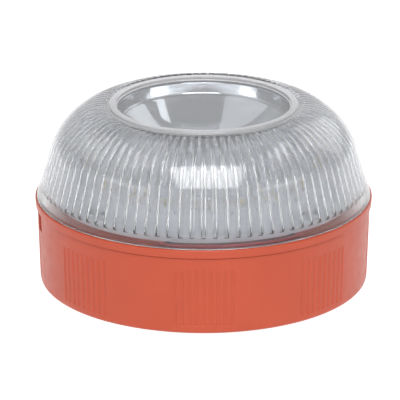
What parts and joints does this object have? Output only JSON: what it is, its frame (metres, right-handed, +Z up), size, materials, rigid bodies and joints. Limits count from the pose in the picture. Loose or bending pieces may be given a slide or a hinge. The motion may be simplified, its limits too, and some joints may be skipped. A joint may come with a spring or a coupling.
{
  "type": "magnetic roof beacon",
  "caption": "Round battery beacon with a fluted clear dome over a torch reflector, on an orange magnetic cup; the lamp head twists off and a push button sits underneath.",
  "frame": {"origin": "centre of the standing face, on the beacon axis", "axes": "+Z up along the beacon axis, -Y towards the front"},
  "size_m": [0.094, 0.094, 0.0509],
  "materials": {
    "orange_abs": "satin moulded ABS",
    "clear_pc": "clear polycarbonate, smooth outside, fluted inside",
    "metallised": "vacuum-metallised, mirror",
    "black_plastic": "moulded, fine texture",
    "rubber": "matt",
    "foam": "closed-cell foam",
    "white_board": "white solder mask on glass-fibre laminate",
    "aluminium": "machined",
    "steel": "zinc plated",
    "magnet": "sintered ferrite",
    "spring_steel": "drawn wire",
    "amber_lamp": "amber lamp body with a clear lens",
    "torch_lamp": "phosphor under a clear lens",
    "component": "moulded component body",
    "can": "sleeved can",
    "ivory_plastic": "moulded nylon",
    "battery_jacket": "plain printed jacket, no marks",
    "red_lead": "PVC insulation",
    "black_lead": "PVC insulation"
  },
  "bodies": {
    "base": {"base_housing": "orange_abs", "base_pad": "rubber", "ring_magnet": "magnet", "flux_plate": "steel", "button_seal": "rubber", "button_spring": "spring_steel"},
    "button": {"push_button": "black_plastic", "stem_clip": "steel"},
    "neck_seal": {"neck_seal": "rubber"},
    "switch_plunger": {"switch_plunger": "ivory_plastic"},
    "head": {"collar_ring": "orange_abs", "dome_lens": "clear_pc", "dome_gasket": "rubber", "reflector_bowl": "metallised", "reflector_screws": "steel", "heat_spreader": "aluminium", "torch_board": "white_board", "torch_led": "torch_lamp", "main_board": "white_board", "board_screws": "steel", "side_lamps": "amber_lamp", "lamp_resistors": "component", "driver_chip": "component", "inductor": "component", "capacitors": "can", "small_parts": "component", "switch_body": "component", "battery_cradle": "black_plastic", "cradle_screws": "steel", "battery": "battery_jacket", "battery_studs": "steel", "battery_snap": "black_plastic", "battery_lead_red": "red_lead", "battery_lead_black": "black_lead", "battery_foam": "foam"}
  },
  "joints": [
    {"name": "button_press", "type": "slide", "parent": "base", "child": "button", "axis": [0, 0, 1], "range_m": [0, 0.0006], "stiffness_N_per_m": 1500, "springref_m": -0.0006, "deforming": ["button_spring"]},
    {"name": "head_lift", "type": "slide", "parent": "base", "child": "neck_seal", "axis": [0, 0, 1], "range_m": [0, 0.006]},
    {"name": "head_twist", "type": "hinge", "parent": "neck_seal", "child": "head", "pos_m": [0, 0, 0.0205], "axis": [0, 0, 1], "range_deg": [0, 90]},
    {"name": "plunger_press", "type": "slide", "parent": "head", "child": "switch_plunger", "axis": [0, 0, 1], "range_m": [0, 0.0006]}
  ],
  "couplings": [
    {"joint": "head_lift", "follows": "head_twist", "m_per_rad": 0.0038197},
    {"joint": "plunger_press", "follows": "button_press", "ratio": 1}
  ]
}
